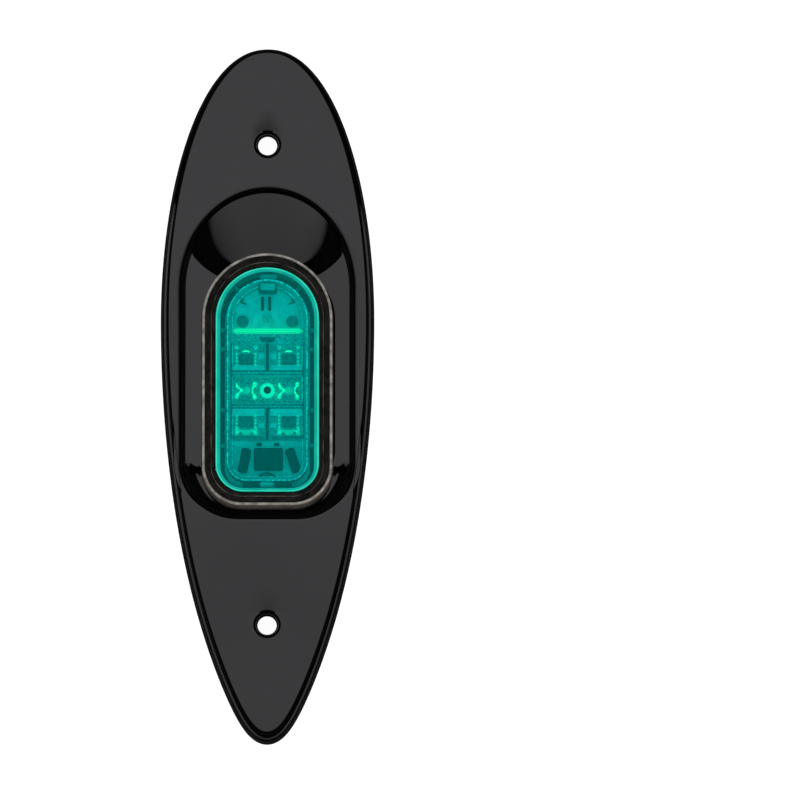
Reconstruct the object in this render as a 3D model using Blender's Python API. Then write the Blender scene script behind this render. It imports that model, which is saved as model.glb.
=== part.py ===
"""Starboard side navigation light: a teardrop shell with a rubber-mounted LED lamp.

Frame: origin at the centre of the mounting plane, +Z out of the hull, +Y towards the blunt end.
Lengths below are in millimetres; build_mesh turns them into metres.
"""
from math import cos, pi, radians, sin

import bmesh
import bpy
from mathutils import Matrix, Vector

MM = 0.001
GAP = 0.3

# Shell outline: a blunt front and a longer taper behind the widest line.
HALF_WIDTH = 34.2
WIDEST_Y = 24.3
FRONT_REACH = 88.6
TAIL_REACH = 137.2
FRONT_POWER = 0.47
TAIL_POWER = 0.65
TIP_ROUNDING = 0.12
OUTLINE_SIDES = 72

# Heights above the mounting plane.
PAD_TOP = 1.6
SHELL_BASE = PAD_TOP + GAP
LIP_TOP = 3.6
FACE_Z = 10.0
WALL = 2.6
LEDGE_Z = FACE_Z - 1.5
FLOOR_LOW_Z = 5.5
POCKET_BASE = 3.4

# Insets of the shell's tiers from the outline.
LIP_INSET = 0.85
WALL_INSET = 1.85
FACE_INSET = 2.65
HOLLOW_INSET = 5.3
PAD_WIDTH = 7.0

# Pocket around the lamp, in the front face.
POCKET_HALF = 27.4
POCKET_ARCH_Y = 33.5
POCKET_ARCH = 31.9
POCKET_TAIL = -41.2
POCKET_CORNER = 18.0
POCKET_WALL = 1.2
FLOOR_STEPS = 6

# Scoop in front of the lamp: deepest beside it, with a steep flank on each side.
SCOOP_CENTRE_Y = 67.0
SCOOP_YS = (42.0, 66.0)
SCOOP_EDGE = 32.6
SCOOP_HALF = 24.6
SCOOP_FLANK = 5.0
SCOOP_DEEP = 3.7
SCOOP_SHALLOW = 1.6

# Drop of the floor behind the side ledges.
LEDGE_END_Y = -24.0
TAIL_DROP = 2.5
TAIL_RUN = 4.0

# Screw holes through the front face.
SCREW_YS = (80.1, -75.6)
SCREW_R = 3.2
RIM_R = 4.4
RIM_DEPTH = 1.2
BOSS_R = 7.0
BOSS_BORE_R = 4.9

# Lamp: rubber surround, lens and tray share one D-shaped outline family.
LAMP_ARCH_Y = 23.0
GASKET_HALF = 20.8
GASKET_TAIL = -37.6
GASKET_CORNER = 12.8
GASKET_TOP = 14.4
LENS_HALF = 16.5
LENS_TAIL = -33.2
LENS_CORNER = 9.0
LENS_RIM_Z = 14.2
LENS_CROWN_Z = 16.4
LENS_BASE = 6.0
LENS_WALL = 1.3
LENS_TOP = 1.8
HOUSING_BASE = 0.6
HOUSING_TOP = 4.7
HOUSING_WALL = 2.6
HOUSING_FLOOR_Z = HOUSING_BASE + 1.4
BOARD_BASE = 3.7
BOARD_TOP = 5.3
PART_Z = BOARD_TOP + GAP

# Reflector tray: its outline, its ribs as (x, y, heading), and a tab at each end.
TRAY_HALF = 12.9
TRAY_TAIL = -29.2
TRAY_CORNER = 6.2
TRAY_TOP = 11.0
TRAY_WALL = 0.8
TRAY_FLANGE = 1.8
RIB_SITES = ((13.9, 19.9, 0.0), (13.9, 13.8, 0.0), (13.9, -6.0, 0.0), (13.9, -17.5, 0.0),
             (9.6, 33.2, 45.0), (9.2, -30.0, -62.0))
RIB_SIZE = (1.7, 1.1, 3.0)
TAB_SIZE = (4.6, 4.0, 4.6)
TAB_YS = {"front_tab": 35.4, "tail_tab": -29.5}

# Light sources on the board, and the grid round them.
LED_X = 6.8
LED_YS = (11.2, 0.7, -9.8)
LED_SIZE = 5.0
LED_HEIGHT = 1.6
GRID_TOP = 9.2
GRID_WIDTH = 23.4
GRID_ENDS = (-15.1, 18.7)
WINDOW_FOOT = (2.9, 2.9)
WINDOW_MOUTH = (4.6, 4.4)
BAR_SIZE = (22.4, 1.4, 4.0)
BAR_Y = 19.9

# Other parts on the board.
CHIP_SIZE = (9.3, 7.2, 2.4)
CHIP_AT = (0.35, -21.6)
CAN_R = 1.6
CAN_LENGTH = 8.0
CANS = {"capacitor_left": ((-7.3, -22.0), -10.0), "capacitor_right": ((8.2, -22.0), 14.0)}
JUMPER_SIZE = (0.9, 4.5, 0.8)
JUMPERS = {"jumper_left": (-1.6, 29.1), "jumper_right": (0.7, 29.1)}
RESISTOR_SIZE = (1.6, 0.9, 0.6)
RESISTORS = {"resistor_left": (-2.6, -16.6), "resistor_right": (3.0, -16.6)}
PINS = {"locating_pin_left": (-7.9, 23.3), "locating_pin_right": (7.9, 23.3)}
PIN_R = 1.9
PIN_SHANK_R = 1.2
GLAND_AT = (0.0, -22.0)
GLAND_R = 3.6
GLAND_BORE_R = 2.1
BOARD_SCREW_AT = (0.1, 24.1)
BOARD_SCREW_R = 1.5
BOARD_SHANK_R = 0.7
RIVET_AT = (0.0, 0.7)
RIVET_R = 2.4
RIVET_BORE_R = 1.0
RIVET_TOP = 9.0


def clear_scene():
    for obj in list(bpy.data.objects):
        bpy.data.objects.remove(obj, do_unlink=True)


def material(name, colour, roughness, metallic=0.0, alpha=1.0):
    mat = bpy.data.materials.new(name)
    mat.use_nodes = True
    shader = mat.node_tree.nodes["Principled BSDF"]
    shader.inputs["Base Color"].default_value = (*colour, 1.0)
    shader.inputs["Roughness"].default_value = roughness
    shader.inputs["Metallic"].default_value = metallic
    shader.inputs["Alpha"].default_value = alpha
    return mat


def finish_object(name, mesh, mat, smooth_angle=35):
    obj = bpy.data.objects.new(name, mesh)
    bpy.context.scene.collection.objects.link(obj)
    if mat:
        mesh.materials.append(mat)
    mesh.shade_smooth()
    mesh.set_sharp_from_angle(angle=radians(smooth_angle))
    return obj


def build_mesh(name, bm, mat):
    bmesh.ops.recalc_face_normals(bm, faces=bm.faces)
    bmesh.ops.scale(bm, vec=(MM, MM, MM), verts=bm.verts)
    mesh = bpy.data.meshes.new(name)
    bm.to_mesh(mesh)
    bm.free()
    return finish_object(name, mesh, mat)


def loft(name, loops, mat=None, closed=False):
    """Skin loops of equal length; cap the ends, or join the last loop to the first."""
    bm = bmesh.new()
    rings = [[bm.verts.new(point) for point in loop] for loop in loops]
    pairs = list(zip(rings, rings[1:]))
    if closed:
        pairs.append((rings[-1], rings[0]))
    for low, high in pairs:
        for i in range(len(low)):
            j = (i + 1) % len(low)
            bm.faces.new((low[i], low[j], high[j], high[i]))
    if not closed:
        bm.faces.new(rings[0])
        bm.faces.new(rings[-1])
    return build_mesh(name, bm, mat)


def at_height(points, z):
    return [(x, y, z) for x, y in points]


def outline_point(angle, inset=0.0):
    """Point of the teardrop, its reaches shortened by inset; angle 90 degrees is the blunt end."""
    half = HALF_WIDTH - inset
    if sin(angle) >= 0:
        reach, power = FRONT_REACH - inset, FRONT_POWER
    else:
        reach, power = TAIL_REACH - inset, TAIL_POWER - TIP_ROUNDING * sin(angle) ** 12
    side = half * max(cos(angle) ** 2, 0.0) ** power
    return Vector((side if cos(angle) > 0 else -side, WIDEST_Y + reach * sin(angle)))


def teardrop(inset):
    """The outline moved inwards along its normal."""
    points = []
    for i in range(OUTLINE_SIDES):
        angle = 2 * pi * i / OUTLINE_SIDES
        ahead = outline_point(angle + 0.01)
        behind = outline_point(angle - 0.01)
        along = (ahead - behind).normalized()
        inward = Vector((-along.y, along.x))
        points.append(tuple(outline_point(angle) + inward * inset))
    return points


def shrunk_teardrop(inset):
    """The outline with shorter reaches, for deep insets that would fold at the tail tip."""
    return [tuple(outline_point(2 * pi * i / OUTLINE_SIDES, inset)) for i in range(OUTLINE_SIDES)]


def arc(centre, radii, start, end, steps):
    cx, cy = centre
    angles = [radians(start + (end - start) * i / steps) for i in range(steps + 1)]
    return [(cx + radii[0] * cos(a), cy + radii[1] * sin(a)) for a in angles]


def between(start, end, steps):
    """Points strictly between two ends of a straight side."""
    (x0, y0), (x1, y1) = start, end
    parts = [i / steps for i in range(1, steps)]
    return [(x0 + (x1 - x0) * p, y0 + (y1 - y0) * p) for p in parts]


def d_outline(half, arch_y, arch, tail, corner):
    """A D: an arched blunt end, straight sides and a flat tail with round corners."""
    crown = arc((0, arch_y), (half, arch), 0, 180, 24)
    left = arc((corner - half, tail + corner), (corner, corner), 180, 270, 6)
    right = arc((half - corner, tail + corner), (corner, corner), 270, 360, 6)
    down = between(crown[-1], left[0], 8)
    across = between(left[-1], right[0], 4)
    up = between(right[-1], crown[0], 8)
    return crown + down + left + across + right + up


def gasket_loop(inset):
    half = GASKET_HALF - inset
    return d_outline(half, LAMP_ARCH_Y, half + 0.3, GASKET_TAIL + inset, GASKET_CORNER - inset)


def lens_loop(inset):
    half = LENS_HALF - inset
    corner = max(LENS_CORNER - inset, 1.0)
    return d_outline(half, LAMP_ARCH_Y, half, LENS_TAIL + inset, corner)


def tray_loop(inset):
    half = TRAY_HALF - inset
    return d_outline(half, LAMP_ARCH_Y, half + 0.3, TRAY_TAIL + inset, TRAY_CORNER - inset)


def pocket_loop(inset):
    return d_outline(POCKET_HALF - inset, POCKET_ARCH_Y, POCKET_ARCH - inset,
                     POCKET_TAIL + inset, POCKET_CORNER - inset)


def clamp(value):
    return min(max(value, 0.0), 1.0)


def pocket_floor(x, y, from_wall):
    """Floor height: flat side ledges, a scoop before the lamp and a trough round the tail."""
    reach = Vector((x, y - SCOOP_CENTRE_Y)).length
    flank = clamp(min(SCOOP_EDGE - reach, SCOOP_HALF - abs(x)) / SCOOP_FLANK)
    near, far = SCOOP_YS
    along = clamp((y - near) / (far - near))
    scoop = (SCOOP_DEEP + (SCOOP_SHALLOW - SCOOP_DEEP) * along) * flank
    trough = TAIL_DROP * clamp((LEDGE_END_Y - y) / TAIL_RUN) * clamp(0.3 + from_wall / TAIL_RUN)
    return LEDGE_Z - max(scoop, trough)


def tool(obj):
    """Mark an object as a cutter or an addition that isn't a piece itself."""
    obj.hide_render = True
    obj.display_type = "WIRE"
    return obj


def combine(obj, other, operation):
    mod = obj.modifiers.new(other.name, "BOOLEAN")
    mod.operation = operation
    mod.solver = "EXACT"
    mod.object = tool(other)


def turned(name, centre, profile, mat=None, sides=20, closed=False):
    """A solid turned about a vertical axis; profile holds (radius, height) pairs."""
    rings = []
    for radius, z in profile:
        circle = arc(centre, (radius, radius), 0, 360 - 360 / sides, sides - 1)
        rings.append(at_height(circle, z))
    return loft(name, rings, mat, closed)


def block(name, size, centre, mat=None, turn=0.0, bevel=0.0):
    """A box with its own heading about +Z and bevelled edges; centre is its middle."""
    bm = bmesh.new()
    bmesh.ops.create_cube(bm, size=1.0)
    spin = Matrix.Rotation(radians(turn), 4, "Z")
    bmesh.ops.transform(bm, matrix=spin @ Matrix.Diagonal((*size, 1.0)), verts=bm.verts)
    if bevel:
        bmesh.ops.bevel(bm, geom=bm.edges, offset=bevel, segments=1, affect="EDGES")
    bmesh.ops.translate(bm, vec=centre, verts=bm.verts)
    return build_mesh(name, bm, mat)


def make_mounting_gasket():
    rubber = material("mounting_gasket", (0.02, 0.02, 0.02), 0.75)
    outer = teardrop(0.0)
    inner = shrunk_teardrop(PAD_WIDTH)
    loops = [at_height(outer, 0.0), at_height(outer, PAD_TOP),
             at_height(inner, PAD_TOP), at_height(inner, 0.0)]
    return loft("mounting_gasket", loops, rubber, closed=True)


def shell_skin():
    """Outer form of the shell: lip, upright wall, rounded edge and flat face."""
    tiers = [(LIP_INSET, SHELL_BASE), (LIP_INSET, LIP_TOP - 0.3), (LIP_INSET + 0.2, LIP_TOP),
             (WALL_INSET, LIP_TOP), (WALL_INSET + 0.2, FACE_Z - 1.0),
             (WALL_INSET + 0.4, FACE_Z - 0.4), (FACE_INSET, FACE_Z)]
    return [at_height(teardrop(inset), z) for inset, z in tiers]


def pocket_cutter():
    """Pocket form: a short wall, a floor that runs in to the lamp opening and a plain middle."""
    wall = [at_height(pocket_loop(0.0), FACE_Z + 2), at_height(pocket_loop(0.0), FACE_Z - 0.5)]
    rim = [Vector(point) for point in pocket_loop(POCKET_WALL)]
    opening = [Vector(point) for point in gasket_loop(0.5)]
    floor = []
    for step in range(FLOOR_STEPS + 1):
        loop = [far.lerp(near, step / FLOOR_STEPS) for far, near in zip(rim, opening)]
        floor.append([(*p, pocket_floor(p.x, p.y, (p - far).length)) for p, far in zip(loop, rim)])
    middle = [at_height(gasket_loop(1.5), FLOOR_LOW_Z)]
    return loft("pocket_cutter", wall + floor + middle)


def shell_hollow():
    hollow = shrunk_teardrop(HOLLOW_INSET)
    return loft("hollow_cutter", [at_height(hollow, 0.0), at_height(hollow, FACE_Z - WALL)])


def pocket_block():
    """Backing of the pocket inside the hollow."""
    base = pocket_loop(-0.6)
    return loft("pocket_block", [at_height(base, POCKET_BASE), at_height(base, FACE_Z - 1.0)])


def screw_boss(name, y):
    profile = [(BOSS_R, SHELL_BASE), (BOSS_R - 0.3, FACE_Z - 1.0)]
    return turned(name, (0, y), profile, sides=28)


def screw_bore(name, y):
    """Wide well behind, screw hole, and a flared rim in the face."""
    profile = [(BOSS_BORE_R, 0.0), (BOSS_BORE_R, FACE_Z - WALL), (SCREW_R, FACE_Z - WALL),
               (SCREW_R, FACE_Z - RIM_DEPTH), (RIM_R, FACE_Z), (RIM_R, FACE_Z + 1)]
    return turned(name, (0, y), profile, sides=28)


def make_base_shell():
    plastic = material("base_shell", (0.012, 0.012, 0.013), 0.12)
    shell = loft("base_shell", shell_skin(), plastic)
    combine(shell, shell_hollow(), "DIFFERENCE")
    combine(shell, pocket_block(), "UNION")
    for i, y in enumerate(SCREW_YS):
        combine(shell, screw_boss(f"boss_{i}", y), "UNION")
    combine(shell, pocket_cutter(), "DIFFERENCE")
    opening = gasket_loop(-GAP)
    lamp_cutter = loft("lamp_cutter", [at_height(opening, 0.0), at_height(opening, FACE_Z + 3)])
    combine(shell, lamp_cutter, "DIFFERENCE")
    for i, y in enumerate(SCREW_YS):
        combine(shell, screw_bore(f"bore_{i}", y), "DIFFERENCE")
    return shell


def make_lamp_gasket():
    """Rubber surround: a tall ring with a bead on its outer top edge and a lip under the pocket."""
    rubber = material("lamp_gasket", (0.03, 0.028, 0.025), 0.6)
    foot = POCKET_BASE - GAP
    inside = GASKET_HALF - LENS_HALF - GAP
    profile = [(inside, HOUSING_BASE), (-1.2, HOUSING_BASE), (-1.2, foot), (0.0, foot),
               (0.0, GASKET_TOP - 0.5), (0.35, GASKET_TOP), (1.0, GASKET_TOP),
               (1.3, GASKET_TOP - 0.7), (inside, GASKET_TOP - 0.7)]
    loops = [at_height(gasket_loop(inset), z) for inset, z in profile]
    return loft("lamp_gasket", loops, rubber, closed=True)


def make_lens():
    """Green lens: a crowned cap over an upright wall, open underneath."""
    green = material("lens", (0.01, 0.45, 0.38), 0.05, alpha=0.45)
    skin = [(0.0, LENS_BASE), (0.0, LENS_RIM_Z - 0.6), (0.25, LENS_RIM_Z), (1.0, LENS_RIM_Z + 0.6),
            (3.0, LENS_RIM_Z + 1.3), (6.0, LENS_RIM_Z + 1.8), (10.0, LENS_CROWN_Z)]
    under = LENS_RIM_Z + 1.2 - LENS_TOP
    cavity = [(LENS_WALL + 5.0, under + 0.4), (LENS_WALL + 1.0, under), (LENS_WALL, under - 0.8),
              (LENS_WALL, LENS_BASE)]
    return loft("lens", [at_height(lens_loop(inset), z) for inset, z in cavity + skin], green)


def make_lens_seal():
    silicone = material("lens_seal", (0.05, 0.05, 0.05), 0.6)
    base = HOUSING_TOP + GAP
    top = LENS_BASE - GAP
    profile = [(1.5, base), (0.2, base), (0.2, top), (1.5, top)]
    loops = [at_height(lens_loop(inset), z) for inset, z in profile]
    return loft("lens_seal", loops, silicone, closed=True)


def make_lamp_housing():
    """Rear tub of the lamp, with a hole for the cable gland."""
    plastic = material("lamp_housing", (0.015, 0.015, 0.016), 0.4)
    profile = [(6.0, HOUSING_BASE), (0.4, HOUSING_BASE), (0.0, HOUSING_BASE + 0.4), (0.0, HOUSING_TOP),
               (HOUSING_WALL, HOUSING_TOP), (HOUSING_WALL, HOUSING_FLOOR_Z), (6.0, HOUSING_FLOOR_Z)]
    housing = loft("lamp_housing", [at_height(lens_loop(inset), z) for inset, z in profile], plastic)
    hole = turned("gland_cutter", GLAND_AT, [(GLAND_R + GAP, 0.0), (GLAND_R + GAP, 3.0)])
    combine(housing, hole, "DIFFERENCE")
    return housing


def make_cable_gland():
    rubber = material("cable_gland", (0.03, 0.03, 0.03), 0.7)
    low = GAP
    high = HOUSING_FLOOR_Z
    profile = [(GLAND_BORE_R, high), (GLAND_BORE_R, low), (GLAND_R - 0.3, low), (GLAND_R, low + 0.3),
               (GLAND_R, high)]
    return turned("cable_gland", GLAND_AT, profile, rubber, closed=True)


def make_potting_block():
    resin = material("potting_block", (0.02, 0.02, 0.02), 0.3)
    loop = lens_loop(HOUSING_WALL + GAP)
    low = HOUSING_FLOOR_Z + GAP
    return loft("potting_block", [at_height(loop, low), at_height(loop, BOARD_BASE - GAP)], resin)


def make_circuit_board():
    """Board cut away for its screw, its rivet and the two locating pins."""
    laminate = material("circuit_board", (0.35, 0.5, 0.42), 0.5)
    loop = lens_loop(HOUSING_WALL + GAP)
    board = loft("circuit_board", [at_height(loop, BOARD_BASE), at_height(loop, BOARD_TOP)], laminate)
    holes = {"screw": (BOARD_SCREW_AT, BOARD_SHANK_R + GAP), "rivet": (RIVET_AT, RIVET_BORE_R + 0.3 + GAP)}
    for name, centre in PINS.items():
        holes[name] = (centre, PIN_SHANK_R + GAP)
    for name, (centre, radius) in holes.items():
        bore = [(radius, BOARD_BASE - 1), (radius, BOARD_TOP + 1)]
        combine(board, turned(f"{name}_hole", centre, bore, sides=16), "DIFFERENCE")
    return board


def make_reflector_tray():
    """Inner wall with a base flange, ribs across the channel and a tab at each end."""
    plastic = material("reflector_tray", (0.55, 0.6, 0.58), 0.35)
    profile = [(TRAY_WALL, PART_Z), (-TRAY_FLANGE, PART_Z), (-TRAY_FLANGE, PART_Z + 0.8),
               (0.0, PART_Z + 0.8), (0.0, TRAY_TOP), (TRAY_WALL, TRAY_TOP)]
    loops = [at_height(tray_loop(inset), z) for inset, z in profile]
    tray = loft("reflector_tray", loops, plastic, closed=True)
    middle = PART_Z + 0.4 + RIB_SIZE[2] / 2
    for i, (x, y, turn) in enumerate(RIB_SITES):
        for side, name in ((1, "right"), (-1, "left")):
            rib = block(f"rib_{name}_{i}", RIB_SIZE, (side * x, y, middle), turn=side * turn)
            combine(tray, rib, "UNION")
    for name, y in TAB_YS.items():
        combine(tray, block(name, TAB_SIZE, (0, y, PART_Z + 2.5), bevel=0.6), "UNION")
    return tray


def window_cutter(name, x, y):
    """Tapered opening over one light source."""
    rings = []
    for (dx, dy), z in ((WINDOW_FOOT, PART_Z - 1), (WINDOW_FOOT, PART_Z + 1.0),
                        (WINDOW_MOUTH, GRID_TOP), (WINDOW_MOUTH, GRID_TOP + 1)):
        corners = [(x - dx, y - dy), (x + dx, y - dy), (x + dx, y + dy), (x - dx, y + dy)]
        rings.append(at_height(corners, z))
    return loft(name, rings)


def make_reflector_grid():
    """Light-coloured frame with a tapered window over each light source."""
    plastic = material("reflector_grid", (0.6, 0.66, 0.63), 0.3)
    tail, front = GRID_ENDS
    size = (GRID_WIDTH, front - tail, GRID_TOP - PART_Z)
    centre = (0, (front + tail) / 2, (GRID_TOP + PART_Z) / 2)
    grid = block("reflector_grid", size, centre, plastic)
    for i, y in enumerate(LED_YS):
        combine(grid, window_cutter(f"window_left_{i}", -LED_X, y), "DIFFERENCE")
        combine(grid, window_cutter(f"window_right_{i}", LED_X, y), "DIFFERENCE")
    well_r = RIVET_R + GAP
    well = [(well_r, PART_Z - 1), (well_r, GRID_TOP + 1)]
    combine(grid, turned("rivet_well", RIVET_AT, well), "DIFFERENCE")
    return grid


def make_light_bar():
    clear = material("light_bar", (0.2, 0.9, 0.6), 0.2)
    return block("light_bar", BAR_SIZE, (0, BAR_Y, PART_Z + BAR_SIZE[2] / 2), clear, bevel=0.2)


def make_leds():
    """Six square packages with a sunk window, numbered row by row from the blunt end."""
    white = material("led", (0.8, 0.85, 0.6), 0.4)
    bm = bmesh.new()
    bmesh.ops.create_cube(bm, size=1.0)
    bmesh.ops.scale(bm, vec=(LED_SIZE, LED_SIZE, LED_HEIGHT), verts=bm.verts)
    top = [face for face in bm.faces if face.normal.z > 0.9]
    bmesh.ops.inset_region(bm, faces=top, thickness=0.6)
    bmesh.ops.inset_region(bm, faces=top, thickness=0.2, depth=-0.4)
    first = build_mesh("led_1", bm, white)
    lights = [first] + [bpy.data.objects.new(f"led_{i}", first.data) for i in range(2, 7)]
    places = [(x, y) for y in LED_YS for x in (-LED_X, LED_X)]
    for light, (x, y) in zip(lights, places):
        if light is not first:
            bpy.context.scene.collection.objects.link(light)
        light.location = (x * MM, y * MM, (PART_Z + LED_HEIGHT / 2) * MM)


def on_board(name, size, centre, mat, bevel=0.0):
    """A box that stands on the board."""
    return block(name, size, (*centre, PART_Z + size[2] / 2), mat, bevel=bevel)


def make_capacitor(name, centre, turn):
    """A small can lying on the board."""
    sleeve = material(name, (0.03, 0.05, 0.06), 0.4)
    bm = bmesh.new()
    bmesh.ops.create_cone(bm, cap_ends=True, segments=16, radius1=CAN_R, radius2=CAN_R, depth=CAN_LENGTH)
    lay = Matrix.Rotation(radians(90), 4, "X")
    spin = Matrix.Rotation(radians(turn), 4, "Z")
    bmesh.ops.transform(bm, matrix=spin @ lay, verts=bm.verts)
    bmesh.ops.translate(bm, vec=(*centre, PART_Z + CAN_R), verts=bm.verts)
    return build_mesh(name, bm, sleeve)


def make_locating_pin(name, centre):
    stake = material(name, (0.05, 0.08, 0.08), 0.5)
    profile = [(PIN_SHANK_R, BOARD_BASE), (PIN_SHANK_R, PART_Z), (PIN_R, PART_Z),
               (PIN_R, PART_Z + 0.6), (PIN_R - 0.5, PART_Z + 1.0)]
    return turned(name, centre, profile, stake)


def make_board_parts():
    """Components that stand on the board, and the pins that locate it."""
    dark = material("driver_chip", (0.02, 0.03, 0.03), 0.5)
    on_board("driver_chip", CHIP_SIZE, CHIP_AT, dark, bevel=0.3)
    for name, (centre, turn) in CANS.items():
        make_capacitor(name, centre, turn)
    for name, centre in JUMPERS.items():
        on_board(name, JUMPER_SIZE, centre, material(name, (0.04, 0.05, 0.05), 0.4))
    for name, centre in RESISTORS.items():
        on_board(name, RESISTOR_SIZE, centre, material(name, (0.03, 0.03, 0.03), 0.4))
    for name, centre in PINS.items():
        make_locating_pin(name, centre)


def make_board_screw():
    """Pan head with a cross recess."""
    steel = material("board_screw", (0.6, 0.6, 0.6), 0.3, 1.0)
    profile = [(BOARD_SHANK_R, BOARD_BASE), (BOARD_SHANK_R, PART_Z), (BOARD_SCREW_R, PART_Z),
               (BOARD_SCREW_R, PART_Z + 0.7), (BOARD_SCREW_R - 0.5, PART_Z + 1.1)]
    screw = turned("board_screw", BOARD_SCREW_AT, profile, steel, sides=16)
    for turn in (20, 110):
        slot = block(f"cross_slot_{turn}", (1.7, 0.36, 1.0), (*BOARD_SCREW_AT, PART_Z + 1.1), turn=turn)
        combine(screw, slot, "DIFFERENCE")
    return screw


def make_board_rivet():
    """Tubular rivet whose wide head stands on the board."""
    brass = material("board_rivet", (0.75, 0.75, 0.7), 0.25, 1.0)
    shank = RIVET_BORE_R + 0.3
    ring = [(RIVET_BORE_R, BOARD_BASE), (shank, BOARD_BASE), (shank, PART_Z), (RIVET_R, PART_Z),
            (RIVET_R, RIVET_TOP - 0.4), (RIVET_R - 0.3, RIVET_TOP), (RIVET_BORE_R + 0.2, RIVET_TOP),
            (RIVET_BORE_R, RIVET_TOP - 0.3)]
    return turned("board_rivet", RIVET_AT, ring, brass, closed=True)


def main():
    clear_scene()
    make_mounting_gasket()
    make_base_shell()
    make_lamp_gasket()
    make_lens()
    make_lens_seal()
    make_lamp_housing()
    make_cable_gland()
    make_potting_block()
    make_circuit_board()
    make_reflector_tray()
    make_reflector_grid()
    make_light_bar()
    make_leds()
    make_board_parts()
    make_board_screw()
    make_board_rivet()


main()
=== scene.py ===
"""Looks of the starboard navigation light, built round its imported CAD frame.

Lengths are in millimetres until finish_piece turns a mesh into metres; the stage and the camera are in
metres. +Y is the blunt end and +Z is out of the hull. Every piece rides on the one body of the frame.
"""
from math import cos, exp, hypot, pi, radians, sin

import bmesh
import bpy
from mathutils import Matrix, Vector, noise


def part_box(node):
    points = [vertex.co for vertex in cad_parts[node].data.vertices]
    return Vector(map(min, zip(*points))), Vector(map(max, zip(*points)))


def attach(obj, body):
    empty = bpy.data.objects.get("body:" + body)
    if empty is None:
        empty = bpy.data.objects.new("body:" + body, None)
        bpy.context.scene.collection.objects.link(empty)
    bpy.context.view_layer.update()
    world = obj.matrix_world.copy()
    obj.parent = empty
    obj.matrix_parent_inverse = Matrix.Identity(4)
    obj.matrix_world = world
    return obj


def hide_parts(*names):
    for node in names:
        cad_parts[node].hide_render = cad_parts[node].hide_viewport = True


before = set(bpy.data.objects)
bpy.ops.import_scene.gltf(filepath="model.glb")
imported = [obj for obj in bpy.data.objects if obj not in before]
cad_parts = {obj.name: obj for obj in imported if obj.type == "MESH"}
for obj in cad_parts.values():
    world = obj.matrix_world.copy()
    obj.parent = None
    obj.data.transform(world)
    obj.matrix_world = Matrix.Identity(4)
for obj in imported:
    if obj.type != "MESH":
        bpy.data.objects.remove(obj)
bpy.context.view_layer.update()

MM = 0.001
BODY = "root"


def box_mm(node):
    """Low and high corner of a CAD node's box."""
    low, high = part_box(node)
    return Vector(low) / MM, Vector(high) / MM


# Places and sizes read from the frame.
PAD_LOW, PAD_HIGH = box_mm("mounting_gasket")
SHELL_LOW, SHELL_HIGH = box_mm("base_shell")
SEAL_LOW, SEAL_HIGH = box_mm("lamp_gasket")
LENS_LOW, LENS_HIGH = box_mm("lens")
TRAY_TOP = box_mm("reflector_tray")[1].z
PART_Z = box_mm("reflector_grid")[0].z
HALF_WIDTH = PAD_HIGH.x
FACE_Z = SHELL_HIGH.z
SHELL_BASE = SHELL_LOW.z

# The teardrop outline and the insets of the shell's tiers, as in the CAD.
WIDEST_Y = 24.3
FRONT_REACH = PAD_HIGH.y - WIDEST_Y
TAIL_REACH = WIDEST_Y - PAD_LOW.y
FRONT_POWER = 0.47
TAIL_POWER = 0.65
TIP_ROUNDING = 0.12
OUTLINE_SIDES = 360
LIP_INSET = 0.85
LIP_TOP = 3.6
LIP_SLOPE_Y = 50
LIP_SLOPE_LENGTH = 18
WALL_INSET = 1.9
HOLLOW_INSET = 5.3
WALL = 2.6
PAD_INNER_INSET = 7.0

# The pocket, its ledges, the scoop before the lamp and the trough behind it.
POCKET_HALF = 27.4
POCKET_ARCH_Y = 33.5
POCKET_ARCH = 31.9
POCKET_TAIL = -40.6
POCKET_CORNER = 18.0
POCKET_WALL = 1.2
POCKET_BASE = 3.4
ROLL_TIGHTNESS = 0.65
TIGHT_FRONT_Y = 44
TIGHT_FRONT_LENGTH = 16
TIGHT_TAIL_Y = -30
TIGHT_TAIL_LENGTH = 8
FLOOR_STEPS = 44
LEDGE_Z = FACE_Z - 1.5
SCOOP_CENTRE_Y = 67.0
SCOOP_EDGE = 32.6
SCOOP_HALF = 24.6
SCOOP_FLANK = 5.0
SCOOP_DEEP = 3.5
SCOOP_SHALLOW = 1.9
SCOOP_START_Y = 42
SCOOP_LENGTH = 24
SCOOP_CURVE = 0.75
FLANK_STEEPNESS = 1.45
TROUGH_DEPTH = 2.6
TROUGH_SIDE = 3.4
TROUGH_FOOT = 0.15
TAIL_STEP_Y = -23.6
TAIL_STEP_LEAN = 0.12
TAIL_STEP_LENGTH = 1.5

# Screw holes.
SCREW_YS = (80.1, -75.6)
SCREW_R = 3.05
RIM_R = 4.4
DISH_R = 11.5
DISH_DEPTHS = (0.55, 0.15)
DISH_SPREAD = 4.0
DISH_BACK = 3.0
BOSS_R = 7.0
BOSS_BORE_R = 4.9

# The lamp's D-shaped outlines.
LAMP_ARCH_Y = 23.0
GASKET_HALF = 20.8
GASKET_TAIL = -37.6
GASKET_CORNER = 12.8
GASKET_TOP = SEAL_HIGH.z
LENS_HALF = LENS_HIGH.x
LENS_TAIL = LENS_LOW.y
LENS_CORNER = 9.0
LENS_WALL = 1.5
LENS_TAIL_SHARE = 0.65
CROWN_RISE = 2.2
TRAY_HALF = 12.9
TRAY_TAIL = -29.2
TRAY_CORNER = 6.2
RIB_TOP = 9.4
GAP = 0.3
RIGHT_GAP = 0.6
LENS_CLEARANCE = 0.06
SEAL_FLARE = 0.22

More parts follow.
